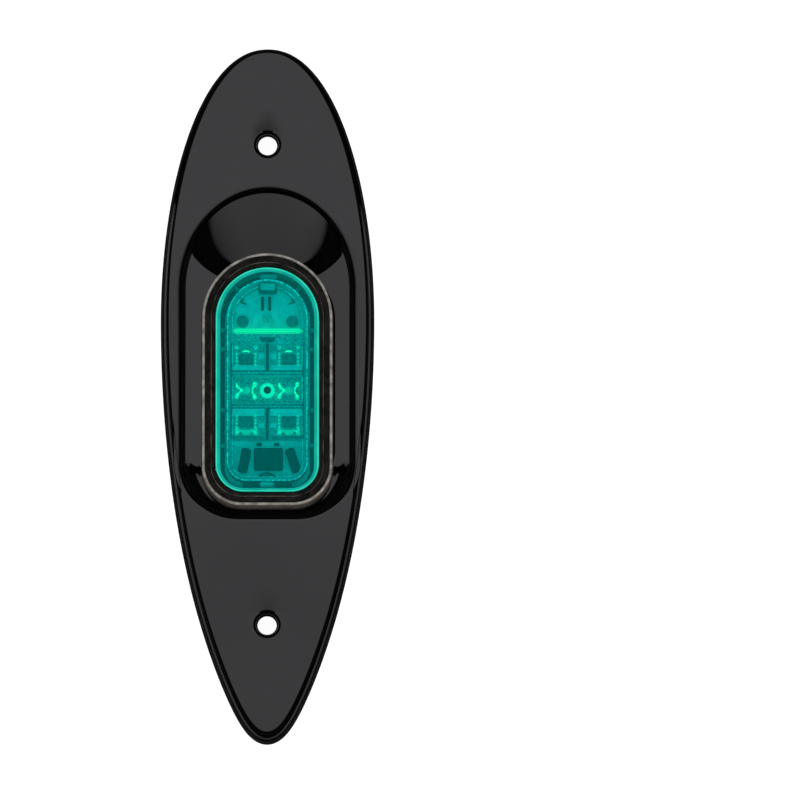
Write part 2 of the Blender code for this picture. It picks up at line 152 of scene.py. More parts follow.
# The reflector grid mirrors about the middle row of light sources; MIDDLE_CELL, CELL_START and CELL_END
# are distances from that row.
LED_XS = (-6.8, 6.8)
LED_YS = (11.2, 0.7, -9.8)
GRID_MIDDLE = 0.7
GRID_HALF = 11.6
GRID_FRONT = 18.8
GRID_BACK = -15.3
GRID_STEP = 0.25
GRID_TOP = 9.0
GRID_FLOOR = 6.7
GRID_EDGE = 11.1
GRID_HEAD_Y = 15.6
MIDDLE_CELL = 4.1
CELL_START = 6.2
CELL_SLOPE = 2.2
CELL_END = 14.2
CELL_RISE = 0.7
LED_TOP = 7.2
LEAD_TOP = 7.55


# ---------------------------------------------------------------- outlines


def outline_point(angle, inset=0.0):
    """Point of the teardrop, with its half width and both reaches reduced by the inset."""
    half = HALF_WIDTH - inset
    if sin(angle) >= 0:
        reach, power = FRONT_REACH - inset, FRONT_POWER
    else:
        reach, power = TAIL_REACH - inset, TAIL_POWER - TIP_ROUNDING * sin(angle) ** 12
    side = half * max(cos(angle) ** 2, 0.0) ** power
    return Vector((side if cos(angle) > 0 else -side, WIDEST_Y + reach * sin(angle)))


def teardrop(inset, sides=OUTLINE_SIDES):
    """The outline moved inwards by the same distance everywhere."""
    points = []
    for i in range(sides):
        angle = 2 * pi * i / sides
        along = (outline_point(angle + 0.01) - outline_point(angle - 0.01)).normalized()
        point = outline_point(angle) + Vector((-along.y, along.x)) * inset
        points.append((point.x, point.y))
    return points


def shrunk_teardrop(inset, sides=OUTLINE_SIDES):
    return [tuple(outline_point(2 * pi * i / sides, inset)) for i in range(sides)]


def arc(centre, radii, start, end, steps):
    angles = [radians(start + (end - start) * i / steps) for i in range(steps + 1)]
    return [(centre[0] + radii[0] * cos(a), centre[1] + radii[1] * sin(a)) for a in angles]


def circle(centre, radius, sides):
    return arc(centre, (radius, radius), 0, 360 - 360 / sides, sides - 1)


def between(start, end, steps):
    (x0, y0), (x1, y1) = start, end
    return [(x0 + (x1 - x0) * i / steps, y0 + (y1 - y0) * i / steps) for i in range(1, steps)]


def d_outline(half, arch_y, arch, tail, corner, fine=1):
    """An arched blunt end, straight sides and a flat tail with round corners."""
    crown = arc((0, arch_y), (half, arch), 0, 180, 96 // fine)
    left = arc((corner - half, tail + corner), (corner, corner), 180, 270, 24 // fine)
    right = arc((half - corner, tail + corner), (corner, corner), 270, 360, 24 // fine)
    down = between(crown[-1], left[0], 120 // fine)
    across = between(left[-1], right[0], 16 // fine)
    up = between(right[-1], crown[0], 120 // fine)
    return crown + down + left + across + right + up


def gasket_loop(inset):
    half = GASKET_HALF - inset
    return d_outline(half, LAMP_ARCH_Y, half + 0.3, GASKET_TAIL + inset, GASKET_CORNER - inset)


def lens_loop(inset):
    """D-shaped ring of the lens, whose wall is thinner at the tail."""
    half = LENS_HALF - inset
    corner = max(LENS_CORNER - inset, 1.0)
    return d_outline(half, LAMP_ARCH_Y, half, LENS_TAIL + LENS_TAIL_SHARE * inset, corner)


def tray_loop(inset):
    half = TRAY_HALF - inset
    return d_outline(half, LAMP_ARCH_Y, half + 0.3, TRAY_TAIL + inset, max(TRAY_CORNER - inset, 0.8))


def pocket_loop(inset):
    return d_outline(POCKET_HALF - inset, POCKET_ARCH_Y, POCKET_ARCH - inset,
                     POCKET_TAIL + inset, POCKET_CORNER - inset)


def at_height(points, z):
    return [(x, y, z) for x, y in points]


def rounded(start, end, steps=5, bulge_first=True):
    """Quarter ellipse between two (inset, height) pairs, leaving start upright or level."""
    (i0, z0), (i1, z1) = start, end
    pairs = []
    for k in range(steps + 1):
        a = radians(90 * k / steps)
        if bulge_first:
            pairs.append((i0 + (i1 - i0) * (1 - cos(a)), z0 + (z1 - z0) * sin(a)))
        else:
            pairs.append((i0 + (i1 - i0) * sin(a), z0 + (z1 - z0) * (1 - cos(a))))
    return pairs


def eased(t, crease=0.22):
    """Straight rise from 0 to 1 that rounds off at its top, and has a sharp foot."""
    if t <= 0:
        return 0.0
    if t >= 1 + crease:
        return 1.0
    return t if t <= 1 - crease else 1 - (1 + crease - t) ** 2 / (4 * crease)


def smooth(t):
    """Rise from 0 to 1, level at both ends."""
    t = min(max(t, 0.0), 1.0)
    return t * t * (3 - 2 * t)


# ---------------------------------------------------------------- meshes


class Skin:
    """A surface grown ring by ring, each stretch with its own material slot."""

    def __init__(self):
        self.bm = bmesh.new()

    def ring(self, points):
        return [self.bm.verts.new(point) for point in points]

    def bridge(self, rings, slot=0):
        for low, high in zip(rings, rings[1:]):
            for i in range(len(low)):
                j = (i + 1) % len(low)
                face = self.bm.faces.new((low[i], low[j], high[j], high[i]))
                face.material_index = slot

    def cap(self, ring, slot=0):
        self.bm.faces.new(ring).material_index = slot

    def fill(self, rings, slot=0):
        """Flat stretch bounded by several rings."""
        edges = []
        for ring in rings:
            for i, vert in enumerate(ring):
                after = ring[(i + 1) % len(ring)]
                edges.append(self.bm.edges.get((vert, after)) or self.bm.edges.new((vert, after)))
        made = bmesh.ops.triangle_fill(self.bm, use_beauty=True, edges=edges, normal=(0, 0, 1))
        for face in made["geom"]:
            if isinstance(face, bmesh.types.BMFace):
                face.material_index = slot


def finish_piece(name, bm, materials, sharp=35, ride=True):
    """Turn a mesh in millimetres into an object in metres; sharp is the smoothing limit in degrees."""
    bmesh.ops.recalc_face_normals(bm, faces=bm.faces)
    bmesh.ops.scale(bm, vec=(MM, MM, MM), verts=bm.verts)
    mesh = bpy.data.meshes.new(name)
    bm.to_mesh(mesh)
    bm.free()
    piece = bpy.data.objects.new(name, mesh)
    bpy.context.scene.collection.objects.link(piece)
    for mat in materials:
        mesh.materials.append(mat)
    mesh.shade_smooth()
    mesh.set_sharp_from_angle(angle=radians(sharp))
    if ride:
        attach(piece, BODY)
    return piece


def ring_piece(name, loop, profile, materials, slots=None):
    """A closed band: profile pairs swept round loop(inset); slots gives one material per stretch."""
    skin = Skin()
    rings = [skin.ring(at_height(loop(inset), z)) for inset, z in profile]
    rings.append(rings[0])
    for i, pair in enumerate(zip(rings, rings[1:])):
        skin.bridge(pair, slots[i] if slots else 0)
    return finish_piece(name, skin.bm, materials)


def turned(name, centre, profile, materials, sides=48, closed=False):
    """A profile of (radius, height) pairs turned about an upright axis, capped unless it closes on itself."""
    skin = Skin()
    rings = [skin.ring(at_height(circle(centre, radius, sides), z)) for radius, z in profile]
    skin.bridge(rings)
    if closed:
        skin.bridge([rings[-1], rings[0]])
    else:
        skin.cap(rings[0])
        skin.cap(rings[-1])
    return finish_piece(name, skin.bm, materials)


def block_bm(size, centre, turn=0.0, bevel=0.0, segments=3):
    """Block with bevelled edges, turned about its upright axis by degrees."""
    bm = bmesh.new()
    bmesh.ops.create_cube(bm, size=1.0)
    bmesh.ops.transform(bm, matrix=Matrix.Diagonal((*size, 1.0)), verts=bm.verts)
    if bevel:
        bmesh.ops.bevel(bm, geom=bm.edges, offset=bevel, segments=segments, affect="EDGES")
    bmesh.ops.transform(bm, matrix=Matrix.Rotation(radians(turn), 4, "Z"), verts=bm.verts)
    bmesh.ops.translate(bm, vec=centre, verts=bm.verts)
    return bm


def applied(piece):
    """Bake a piece's modifiers into its mesh."""
    graph = bpy.context.evaluated_depsgraph_get()
    mesh = bpy.data.meshes.new_from_object(piece.evaluated_get(graph))
    piece.modifiers.clear()
    piece.data = mesh
    return piece


def combine(piece, other, operation):
    """Add a boolean with another object, to be baked later."""
    mod = piece.modifiers.new(other.name, "BOOLEAN")
    mod.operation = operation
    mod.solver = "EXACT"
    mod.object = other


# ---------------------------------------------------------------- materials


def new_material(name):
    mat = bpy.data.materials.new(name)
    mat.use_nodes = True
    return mat, mat.node_tree.nodes, mat.node_tree.links


def grain(nodes, links, scale, detail=4.0, stretch=(1, 1, 1)):
    """Noise in the object's own coordinates; scale is in cells per metre."""
    coords = nodes.new("ShaderNodeTexCoord")
    mapping = nodes.new("ShaderNodeMapping")
    mapping.inputs["Scale"].default_value = stretch
    pattern = nodes.new("ShaderNodeTexNoise")
    pattern.inputs["Scale"].default_value = scale
    pattern.inputs["Detail"].default_value = detail
    links.new(coords.outputs["Object"], mapping.inputs["Vector"])
    links.new(mapping.outputs["Vector"], pattern.inputs["Vector"])
    return pattern.outputs["Fac"]


def spread(nodes, links, value, low, high):
    """Noise value stretched to a range."""
    ranged = nodes.new("ShaderNodeMapRange")
    ranged.inputs["From Min"].default_value = 0.3
    ranged.inputs["From Max"].default_value = 0.7
    ranged.inputs["To Min"].default_value = low
    ranged.inputs["To Max"].default_value = high
    links.new(value, ranged.inputs["Value"])
    return ranged.outputs["Result"]


def tinted(nodes, links, value, dark, light):
    ramp = nodes.new("ShaderNodeValToRGB")
    ramp.color_ramp.elements[0].position = 0.35
    ramp.color_ramp.elements[0].color = (*dark, 1)
    ramp.color_ramp.elements[1].position = 0.65
    ramp.color_ramp.elements[1].color = (*light, 1)
    links.new(value, ramp.inputs["Fac"])
    return ramp.outputs["Color"]


def surface(name, dark, light, rough, patch=120, fine=2500, bump=0.004, metallic=0.0, ior=1.5,
            specular=0.5, glow=0.0, wave=0.0):
    """Moulded or cast surface: two tones in soft patches, uneven gloss, a fine grain and slow waves.

    patch and fine are noise scales in cells per metre; bump and wave are heights in millimetres.
    """
    mat, nodes, links = new_material(name)
    shader = nodes["Principled BSDF"]
    shader.inputs["Metallic"].default_value = metallic
    shader.inputs["IOR"].default_value = ior
    shader.inputs["Specular IOR Level"].default_value = specular
    tone = tinted(nodes, links, grain(nodes, links, patch), dark, light)
    links.new(tone, shader.inputs["Base Color"])
    if glow:
        links.new(tone, shader.inputs["Emission Color"])
        shader.inputs["Emission Strength"].default_value = glow
    gloss = spread(nodes, links, grain(nodes, links, patch * 3), *rough)
    links.new(gloss, shader.inputs["Roughness"])
    relief = nodes.new("ShaderNodeBump")
    relief.inputs["Distance"].default_value = bump * MM
    links.new(grain(nodes, links, fine, 2.0), relief.inputs["Height"])
    if wave:
        slow = nodes.new("ShaderNodeBump")
        slow.inputs["Distance"].default_value = wave * MM
        links.new(grain(nodes, links, 16, 0.0), slow.inputs["Height"])
        links.new(slow.outputs["Normal"], relief.inputs["Normal"])
    links.new(relief.outputs["Normal"], shader.inputs["Normal"])
    return mat


def lens_material(name, tint, haze, haze_share):
    """Clear tinted plastic that lets light through unbent, with a little milky colour and gloss."""
    mat, nodes, links = new_material(name)
    shader = nodes["Principled BSDF"]
    shader.inputs["IOR"].default_value = 1.1
    tone = tinted(nodes, links, grain(nodes, links, 90), haze, [c * 1.1 for c in haze])
    links.new(tone, shader.inputs["Base Color"])
    gloss = spread(nodes, links, grain(nodes, links, 200), 0.04, 0.09)
    links.new(gloss, shader.inputs["Roughness"])
    clear = nodes.new("ShaderNodeBsdfTransparent")
    clear.inputs["Color"].default_value = (*tint, 1)
    mix = nodes.new("ShaderNodeMixShader")
    mix.inputs["Fac"].default_value = haze_share
    links.new(clear.outputs["BSDF"], mix.inputs[1])
    links.new(shader.outputs["BSDF"], mix.inputs[2])
    links.new(mix.outputs["Shader"], nodes["Material Output"].inputs["Surface"])
    return mat


def white_part(name, low, high, patch=900, rough=(0.3, 0.5), glow=0.0, bump=0.01):
    """Plain plastic between two grey levels."""
    return surface(name, (low,) * 3, (high,) * 3, rough, patch=patch, glow=glow, bump=bump)


GLOSS_BLACK = surface("gloss_black", (0.0006, 0.0006, 0.0008), (0.0012, 0.0012, 0.0015), (0.05, 0.09),
                      patch=60, fine=900, bump=0.0012, wave=1.2)
PAD_RUBBER = surface("pad_rubber", (0.006, 0.006, 0.006), (0.012, 0.011, 0.011), (0.4, 0.6),
                     fine=3000, bump=0.02, specular=0.4)
SEAL_RUBBER = surface("seal_rubber", (0.006, 0.005, 0.004), (0.020, 0.016, 0.013), (0.45, 0.7),
                      patch=400, fine=4000, bump=0.02, specular=0.25)
# Painted light: the surround's side is its dark rubber in a lighter brown, so it reads lit where it stands in
# shadow.
SEAL_SIDE_PAINTED_LIGHT = surface("seal_side_painted_light", (0.085, 0.073, 0.060), (0.135, 0.118, 0.098), (0.6, 0.8),
                    patch=300, fine=4000, bump=0.02, specular=0.2)
# Pale rubber bead; its lightness is partly a painted highlight along its crest.
SEAL_BEAD_WITH_HIGHLIGHT = surface("seal_bead_with_highlight", (0.17, 0.152, 0.132), (0.42, 0.385, 0.345), (0.5, 0.7),
                    patch=350, fine=5000, bump=0.03, specular=0.3)
# Painted highlight: the thin rubber ridge beside the lens is lighter, for the line of light it catches.
SEAL_RIDGE_HIGHLIGHT = surface("seal_ridge_highlight", (0.015, 0.013, 0.011), (0.16, 0.145, 0.13), (0.4, 0.6),
                     patch=260, fine=5000, bump=0.02, specular=0.3)
SATIN_BLACK = surface("satin_black", (0.010, 0.010, 0.011), (0.016, 0.016, 0.017), (0.3, 0.45),
                      fine=3500, bump=0.01)
RESIN = surface("resin", (0.010, 0.010, 0.010), (0.022, 0.021, 0.020), (0.15, 0.3), patch=200, bump=0.01)
LENS_CLEAR = lens_material("lens_clear", (0.03, 0.90, 0.89), (0.0, 0.54, 0.50), 0.17)
LENS_BACK = lens_material("lens_back", (0.25, 0.97, 0.94), (0.0, 0.45, 0.38), 0.03)
# Painted light: the lens wall and edge are a bright opaque teal, and the line on the edge glows, for the
# light piped along the lens's edge.
LENS_EDGE_PAINTED_LIGHT = surface("lens_edge_painted_light", (0.002, 0.44, 0.35), (0.008, 0.56, 0.45), (0.1, 0.2), patch=150,
                    ior=1.15, bump=0.001)
LENS_LINE_PAINTED_GLOW = surface("lens_line_painted_glow", (0.02, 0.76, 0.50), (0.05, 0.90, 0.64), (0.1, 0.2), patch=150,
                    ior=1.15, bump=0.001, glow=0.1)
# Painted shade: dark sheets on the floor of the channel at the tail.
CHANNEL_SHADE = white_part("channel_shade", 0.05, 0.10, patch=900)
# Painted highlight: a glowing bright line along the top and the inner step of the tray wall.
LINE_HIGHLIGHT = white_part("line_highlight", 0.15, 1.0, patch=1400, glow=0.6)
# Painted light: a lighter copy of the tray plastic for the lit tops of the front tab and the tail bridge.
TAB_LIT_PLASTIC = white_part("tab_lit_plastic", 0.62, 0.80, patch=500)
TRAY_PLASTIC = white_part("tray_plastic", 0.42, 0.62, patch=700)
# Painted shade: a darker copy of the tray plastic for the wall's outer side, the shadow under the front tab
# and the outer tail arch.
TRAY_SHADE = white_part("tray_shade", 0.08, 0.18, patch=900)
# Painted light: a lighter, glowing copy of the grid plastic on the slopes and bright patches.
GRID_PAINTED_LIGHT = white_part("grid_painted_light", 0.75, 0.95, patch=700, glow=0.08)
GRID_PLASTIC = white_part("grid_plastic", 0.20, 0.92, patch=2400, bump=0.05)
# Painted shade: a darker copy of the grid plastic in the dimple, the middle groove, the lines and along the
# edges.
GRID_PAINTED_SHADE = white_part("grid_painted_shade", 0.14, 0.32, patch=1500)
# Painted light: the bar's plastic glows, though it is no lamp.
BAR_PAINTED_GLOW = surface("bar_painted_glow", (0.9, 1.0, 0.50), (1.0, 1.0, 0.56), (0.2, 0.3), glow=0.42)
# The board's own pale mask, with a painted glow that lifts it where the tray shades it.
BOARD_MASK_PAINTED_GLOW = white_part("board_mask_painted_glow", 0.68, 0.88, patch=350, glow=0.10)
# Painted shade: a darker copy of the package plastic for the outer rows, deep between the slopes.
LED_SHADED_BODY = white_part("led_shaded_body", 0.16, 0.30, patch=900)
LED_CLEAR = white_part("led_clear", 0.55, 0.70, patch=900)
# Painted highlight: a bright, glowing tone for the middle domes and the outer rows' half discs.
LED_DOME_HIGHLIGHT = surface("led_dome_highlight", (0.8, 0.95, 0.6), (1.0, 1.0, 0.7), (0.1, 0.2), patch=1500, glow=0.12)
DARK_PACKAGE = surface("dark_package", (0.010, 0.010, 0.012), (0.03, 0.03, 0.034), (0.4, 0.6), patch=900)
# Painted light: tin that glows brightly, on the middle leads, the ring and the outer rows' highlight arcs.
TIN_PAINTED_LIGHT = surface("tin_painted_light", (0.9, 1.0, 0.60), (1.0, 1.0, 0.66), (0.25, 0.4), patch=1500, glow=0.5)
# Tin with a painted glow, on the outer rows' leads.
TIN_PAINTED_GLOW = surface("tin_painted_glow", (0.60, 0.70, 0.50), (0.95, 1.0, 0.75), (0.25, 0.4), patch=1800, glow=0.4)
STEEL = surface("steel", (0.62, 0.66, 0.62), (0.90, 0.92, 0.86), (0.25, 0.4), patch=1500, metallic=0.1)
PIN_PLASTIC = white_part("pin_plastic", 0.25, 0.33, patch=900)


# ---------------------------------------------------------------- shell


def floor_height(x, y, out):
    """Pocket floor; out is the distance from the foot of the pocket's wall.

    Flat side ledges, a curved scoop with steep flanks between the lamp and the arch, and a trough
    round the tail that rises steeply to the wall.
    """
    scoop = 0.0
    if y > LAMP_ARCH_Y:
        side = min(abs(x), SCOOP_HALF)
        ahead = max(SCOOP_EDGE - hypot(x, y - SCOOP_CENTRE_Y), 0.0) / SCOOP_FLANK
        aside = (SCOOP_HALF - side) / SCOOP_FLANK
        flank = FLANK_STEEPNESS * (ahead + aside - hypot(ahead, aside))
        along = min(max((y - SCOOP_START_Y) / SCOOP_LENGTH, 0.0), 1.0)
        depth = SCOOP_DEEP + (SCOOP_SHALLOW - SCOOP_DEEP) * along
        scoop = depth * (1 - SCOOP_CURVE * (side / SCOOP_HALF) ** 2) * eased(flank, 0.4)
    step = smooth((TAIL_STEP_Y - TAIL_STEP_LEAN * (POCKET_HALF - abs(x)) - y) / TAIL_STEP_LENGTH)
    trough = TROUGH_DEPTH * eased(TROUGH_FOOT + out / TROUGH_SIDE) * step
    return LEDGE_Z - max(scoop, trough)


def side_gap(x, y):
    """Extra width of the lamp's opening along the right side, where a dark gap shows."""
    return RIGHT_GAP * smooth((x - 8) / 8) * smooth((38 - y) / 10) * smooth((y - TAIL_STEP_Y) / 4)


def pocket_rings(skin):
    """Roll-in, wall, floor and lamp opening; returns the rings from the face inwards."""
    outer, inner = pocket_loop(0.0), pocket_loop(1.0)
    opening = [(x + side_gap(x, y), y) for x, y in gasket_loop(-GAP)]

    def at(i, inset):
        """Point i of the pocket's outline; the roll and the wall are tighter at both ends."""
        (x0, y0), (x1, y1) = outer[i], inner[i]
        front = smooth((y0 - TIGHT_FRONT_Y) / TIGHT_FRONT_LENGTH)
        tail = smooth((TIGHT_TAIL_Y - y0) / TIGHT_TAIL_LENGTH)
        inset -= ROLL_TIGHTNESS * max(front, tail) * max(inset, -POCKET_WALL)
        return x0 + (x1 - x0) * inset, y0 + (y1 - y0) * inset

    count = range(len(outer))
    foot = [at(i, POCKET_WALL) for i in count]
    widths = [hypot(a[0] - b[0], a[1] - b[1]) for a, b in zip(foot, opening)]
    rings = []
    roll = [(-2.6, 0.0), (-2.4, 0.0), (-1.8, 0.008), (-1.2, 0.03), (-0.7, 0.07), (-0.3, 0.14),
            (0.0, 0.25), (0.25, 0.42), (0.55, 0.68), (1.0, 0.95), (1.2, 1.0)]
    for inset, share in roll:
        points = []
        for i in count:
            depth = FACE_Z - floor_height(*foot[i], 0.0)
            points.append((*at(i, inset), FACE_Z - share * depth))
        rings.append(skin.ring(points))
    for k in range(1, FLOOR_STEPS + 1):
        share = k / FLOOR_STEPS
        points = []
        for far, near, width in zip(foot, opening, widths):
            x = far[0] + (near[0] - far[0]) * share
            y = far[1] + (near[1] - far[1]) * share
            points.append((x, y, floor_height(x, y, width * share)))
        rings.append(skin.ring(points))
    rings.append(skin.ring(at_height(opening, SHELL_BASE)))
    return rings


def hole_rings(skin, centre_y, dish):
    """A shallow dent on the blunt side, a rim with a narrow ledge and the bore."""
    rings = []
    sides = 96

    def dent(x, y):
        """Falls towards the rim from the blunt side, and rises again beside the hole."""
        ahead = (DISH_R - y) / (DISH_R - RIM_R)
        share = ahead * (0.5 + 0.5 * ahead) if y > RIM_R else smooth((y + DISH_BACK) / (RIM_R + DISH_BACK))
        return dish * share * exp(-(x / DISH_SPREAD) ** 2)

    for radius in (DISH_R, 10.6, 9.5, 8.4, 7.4, 6.5, 5.7, 5.0, RIM_R):
        points = circle((0, centre_y), radius, sides)
        rings.append(skin.ring([(x, y, FACE_Z - dent(x, y - centre_y)) for x, y in points]))
    for radius, drop in ((4.2, 0.1), (3.95, 0.45), (3.8, 0.5), (3.45, 0.52), (3.15, 0.8), (SCREW_R, 1.2)):
        rings.append(skin.ring(at_height(circle((0, centre_y), radius, sides), FACE_Z - dish - drop)))
    rings.append(skin.ring(at_height(circle((0, centre_y), SCREW_R, sides), SHELL_BASE)))
    return rings


def lip_edge(points):
    """Inner edge of the lowest lip, which slopes more steeply round the blunt end."""
    return [(x, y, LIP_TOP + 0.02 + 0.1 * smooth((y - LIP_SLOPE_Y) / LIP_SLOPE_LENGTH)) for x, y in points]


def shell_body():
    """The shell as a full block with its lamp opening and bores; the hollow is cut out after.

    The tier without a height is the lip's inner edge, which lip_edge places.
    """
    skin = Skin()
    tiers = [(LIP_INSET, SHELL_BASE), (LIP_INSET, LIP_TOP - 0.25)]
    tiers += rounded((LIP_INSET, LIP_TOP - 0.25), (LIP_INSET + 0.25, LIP_TOP))[1:]
    tiers += [(WALL_INSET - 0.2, None)]
    tiers += rounded((WALL_INSET - 0.2, LIP_TOP + 0.15), (WALL_INSET, LIP_TOP + 0.35), bulge_first=False)[1:]
    tiers += rounded((WALL_INSET + 0.12, FACE_Z - 0.75), (WALL_INSET + 0.85, FACE_Z), steps=8)
    tiers += [(WALL_INSET + 1.0, FACE_Z)]
    outer = []
    for inset, z in tiers:
        around = teardrop(inset)
        outer.append(skin.ring(lip_edge(around) if z is None else at_height(around, z)))
    skin.bridge(outer)
    pocket = pocket_rings(skin)
    skin.bridge(pocket)
    holes = [hole_rings(skin, y, dish) for y, dish in zip(SCREW_YS, DISH_DEPTHS)]
    for rings in holes:
        skin.bridge(rings)
    skin.fill([outer[-1], pocket[0]] + [rings[0] for rings in holes])
    skin.fill([outer[0], pocket[-1]] + [rings[-1] for rings in holes])
    return finish_piece("shell_body", skin.bm, [GLOSS_BLACK])


def plain_solid(name, loops):
    """Solid between two level outlines, used for cutting."""
    skin = Skin()
    rings = [skin.ring(loop) for loop in loops]
    skin.bridge(rings)
    skin.cap(rings[0])
    skin.cap(rings[-1])
    return finish_piece(name, skin.bm, [GLOSS_BLACK], ride=False)


def make_shell():
    """Cut the hollow from the shell's back, leaving the pocket's block and the two screw bosses."""
    shell = shell_body()
    low, high = SHELL_BASE - 1.5, FACE_Z - WALL
    hollow = shrunk_teardrop(HOLLOW_INSET, 180)
    hollow_cutter = plain_solid("hollow_cutter", [at_height(hollow, low), at_height(hollow, high)])
    parts = []
    around = pocket_loop(-0.6)
    parts.append(plain_solid("pocket_block", [at_height(around, POCKET_BASE), at_height(around, FACE_Z)]))
    for i, y in enumerate(SCREW_YS):
        wide, bore = circle((0, y), BOSS_R, 64), circle((0, y), BOSS_BORE_R, 64)
        boss = plain_solid(f"boss_{i}", [at_height(wide, SHELL_BASE), at_height(wide, FACE_Z)])
        well = plain_solid(f"well_{i}", [at_height(bore, low - 1), at_height(bore, FACE_Z + 1)])
        combine(boss, well, "DIFFERENCE")
        parts.append(applied(boss))
        bpy.data.objects.remove(well)
    for part in parts:
        combine(hollow_cutter, part, "DIFFERENCE")
    applied(hollow_cutter)
    combine(shell, hollow_cutter, "DIFFERENCE")
    applied(shell)
    for extra in parts + [hollow_cutter]:
        bpy.data.objects.remove(extra)
    shell.name = "moulded_shell"
    shell.data.shade_smooth()
    shell.data.set_sharp_from_angle(angle=radians(35))
    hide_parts("base_shell")


def make_mounting_pad():
    """Rim gasket with softened edges, a little proud of the shell's lowest lip."""
    top = PAD_HIGH.z
    skin = Skin()
    profile = [(0.0, 0.25), (0.0, top - 0.3)] + rounded((0.0, top - 0.3), (0.3, top))[1:]
    outer = [skin.ring(at_height(teardrop(inset), z)) for inset, z in profile]
    inner = [skin.ring(at_height(shrunk_teardrop(PAD_INNER_INSET), z)) for z in (top, 0.0)]
    foot = skin.ring(at_height(teardrop(0.25), 0.0))
    skin.bridge(outer + inner + [foot, outer[0]])
    pad = finish_piece("rim_pad", skin.bm, [PAD_RUBBER])
    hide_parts("mounting_gasket")


# ---------------------------------------------------------------- lamp


def make_lamp_surround():
    """Rubber surround: flared side in a lighter brown as painted light, pale uneven bead whose lightness is
    partly painted highlight, sunk band and a thin ridge beside the lens with a painted highlight.
    """
    top = GASKET_TOP
    inside = GASKET_HALF - LENS_HALF - LENS_CLEARANCE
    foot = POCKET_BASE - GAP
    outside = [(inside, SEAL_LOW.z), (-1.2, SEAL_LOW.z), (-1.2, foot), (-SEAL_FLARE, foot),
               (-SEAL_FLARE, 8.0), (0.0, top - 0.8)]
    bead = rounded((0.0, top - 0.8), (0.35, top), steps=6)[1:]
    bead += [(0.5, top)] + rounded((0.5, top), (0.85, top - 0.5), steps=6, bulge_first=False)[1:]
    band = [(1.2, top - 0.75), (2.5, top - 0.85), (2.8, top - 0.6), (3.0, top - 0.55),
            (3.25, top - 0.8), (inside - 0.15, top - 0.9), (inside, top - 1.1)]
    profile = outside + bead + band
    # Stretches in order: underside, side (painted light), bead (partly painted highlight), band, thin ridge
    # (painted highlight), band.
    slots = [0] * 3 + [3] * 3 + [1] * 11 + [0] * 4 + [2] + [0] * 4
    surround = ring_piece("lamp_surround", gasket_loop, profile,
                          [SEAL_RUBBER, SEAL_BEAD_WITH_HIGHLIGHT, SEAL_RIDGE_HIGHLIGHT, SEAL_SIDE_PAINTED_LIGHT], slots)
    roughen(surround, top)
    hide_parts("lamp_gasket")


def roughen(piece, top):
    """A slow and a fast wave along the bead, as on trimmed rubber; they only lower it."""
    for vert in piece.data.vertices:
        if vert.co.z > (top - 0.6) * MM:
            wave = noise.noise(vert.co * 260) * 0.10 + noise.noise(vert.co * 900) * 0.04
            vert.co.z += min(wave, 0.0) * MM


def make_lens():
    """Crowned cap over an upright wall; the edge that carries the light is its own stretch. Wall and edge are
    a bright opaque teal and the line on the edge glows: painted light for the light piped along the edge.
    """
    rim = LENS_HIGH.z - CROWN_RISE
    crown = LENS_HIGH.z
    skin = Skin()
    wall = [(0.0, LENS_LOW.z), (0.0, rim - 0.5)]
    edge = rounded((0.0, rim - 0.5), (0.5, rim), steps=5)[1:] + [(1.0, rim + 0.25), (LENS_WALL, rim + 0.42)]
    cap = [(2.0, rim + 0.75), (3.0, rim + 1.12), (4.5, rim + 1.52), (6.5, rim + 1.86), (9.0, rim + 2.08),
           (12.0, crown - 0.02)]
    wall_rings = [skin.ring(at_height(lens_loop(inset), z)) for inset, z in wall]
    edge_rings = [skin.ring(at_height(lens_loop(inset), z)) for inset, z in edge]
    cap_rings = [skin.ring(at_height(lens_loop(inset), z)) for inset, z in cap]
    skin.bridge(wall_rings + edge_rings[:1], 1)
    skin.bridge(edge_rings[:5], 3)
    skin.bridge(edge_rings[4:], 1)
    skin.bridge(edge_rings[-1:] + cap_rings, 0)
    skin.cap(cap_rings[-1], 0)
    under = rim - 0.6
    hollow = [(LENS_WALL, LENS_LOW.z), (LENS_WALL, under - 0.8), (LENS_WALL + 1.0, under),
              (LENS_WALL + 5.0, under + 0.4)]
    inner = [skin.ring(at_height(lens_loop(inset), z)) for inset, z in hollow]
    skin.bridge([wall_rings[0], inner[0]], 1)
    skin.bridge(inner, 2)
    skin.cap(inner[-1], 2)
    lens = finish_piece("lens_cap", skin.bm, [LENS_CLEAR, LENS_EDGE_PAINTED_LIGHT, LENS_BACK, LENS_LINE_PAINTED_GLOW])
    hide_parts("lens")


def make_tray():
    """Inner wall with a painted highlight along its top and its inner step and painted shade on its outer
    side, and what is moulded with it, with dark sheets of painted shade in its channel.
    """
    top = TRAY_TOP
    profile = [(0.0, PART_Z), (0.0, top - 0.1), (0.08, top), (0.3, top), (0.38, top - 0.15),
               (1.3, 8.4), (1.65, 8.35), (1.8, 8.2), (2.1, PART_Z)]
    # Outer side in painted shade; the top and the inner step in a painted highlight.
    slots = [1, 2, 2, 2, 0, 0, 2, 0, 0]
    tray = ring_piece("tray_wall", tray_loop, profile, [TRAY_PLASTIC, TRAY_SHADE, LINE_HIGHLIGHT], slots)
    part_of_tray(tray)
    tray_ribs()
    tray_tabs()
    channel_shade_sheets()
    tail_arches()


